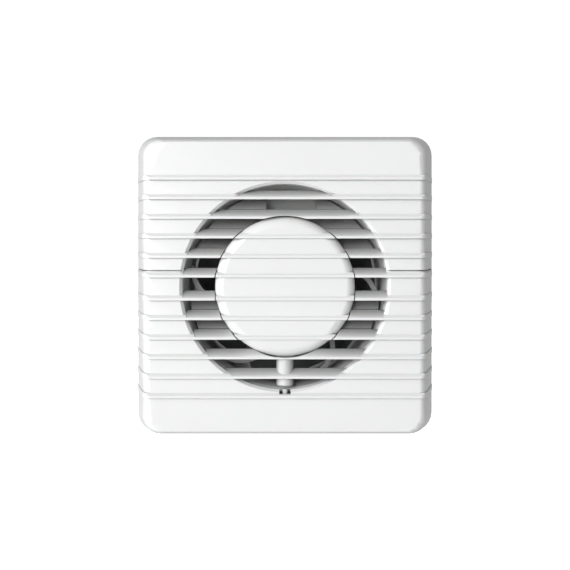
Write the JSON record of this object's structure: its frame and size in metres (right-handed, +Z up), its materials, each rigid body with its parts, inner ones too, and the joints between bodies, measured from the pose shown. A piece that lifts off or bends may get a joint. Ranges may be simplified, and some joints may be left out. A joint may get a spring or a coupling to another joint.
{
  "type": "bathroom extractor fan",
  "caption": "Square white axial extractor fan with a louvred front cover, a round centre cap, a small motor, an impeller and a round duct spigot.",
  "frame": {"origin": "on the fan's axis, midway between the cover's front edge and the end of the spigot; the wall plane is at y = -0.020", "axes": "+Y along the fan's axis into the wall and the duct, +Z up, the louvred front faces -Y"},
  "size_m": [0.15, 0.1, 0.15],
  "materials": {
    "cover_abs": "smooth glossy white moulded ABS",
    "casing_abs": "satin white moulded ABS",
    "light_guide_acrylic": "milky clear acrylic",
    "impeller_pp": "satin dark grey polypropylene",
    "laminated_steel": "stacked electrical steel sheets",
    "enamelled_copper": null,
    "zinc_steel": "zinc plated steel",
    "sintered_bronze": "oil-filled sintered bronze",
    "white_nylon": "satin natural nylon",
    "grommet_rubber": "matt black rubber",
    "lead_brown": "satin brown PVC insulation",
    "lead_blue": "satin blue PVC insulation"
  },
  "bodies": {
    "base": {"cable_clamp": "white_nylon", "cable_grommet": "grommet_rubber", "casing": "casing_abs", "clamp_screw_1": "zinc_steel", "clamp_screw_2": "zinc_steel", "front_bearing": "sintered_bronze", "front_bracket": "zinc_steel", "lead_wire_1": "lead_brown", "lead_wire_2": "lead_blue", "motor_bolt_1": "zinc_steel", "motor_bolt_2": "zinc_steel", "motor_nut_1": "zinc_steel", "motor_nut_2": "zinc_steel", "rear_bearing": "sintered_bronze", "rear_bracket": "zinc_steel", "stator_stack": "laminated_steel", "terminal_block": "white_nylon", "terminal_screw_1": "zinc_steel", "terminal_screw_2": "zinc_steel", "terminal_screw_3": "zinc_steel", "winding": "enamelled_copper"},
    "fan_rotor": {"rotor": "laminated_steel", "motor_shaft": "zinc_steel", "impeller": "impeller_pp", "impeller_nut": "zinc_steel", "front_washer": "white_nylon", "rear_washer": "white_nylon"},
    "front_cover": {"front_grille": "cover_abs", "light_guide": "light_guide_acrylic"},
    "front_cap": {"centre_cap": "cover_abs"}
  },
  "joints": [
    {"name": "impeller_spin", "type": "hinge", "parent": "base", "child": "fan_rotor", "pos_m": [0, 0, 0], "axis": [0, 1, 0], "continuous": true},
    {"name": "cover_pull", "type": "slide", "parent": "base", "child": "front_cover", "axis": [0, -1, 0], "range_m": [0, 0.06]},
    {"name": "cap_pull", "type": "slide", "parent": "front_cover", "child": "front_cap", "axis": [0, -1, 0], "range_m": [0, 0.015]}
  ]
}
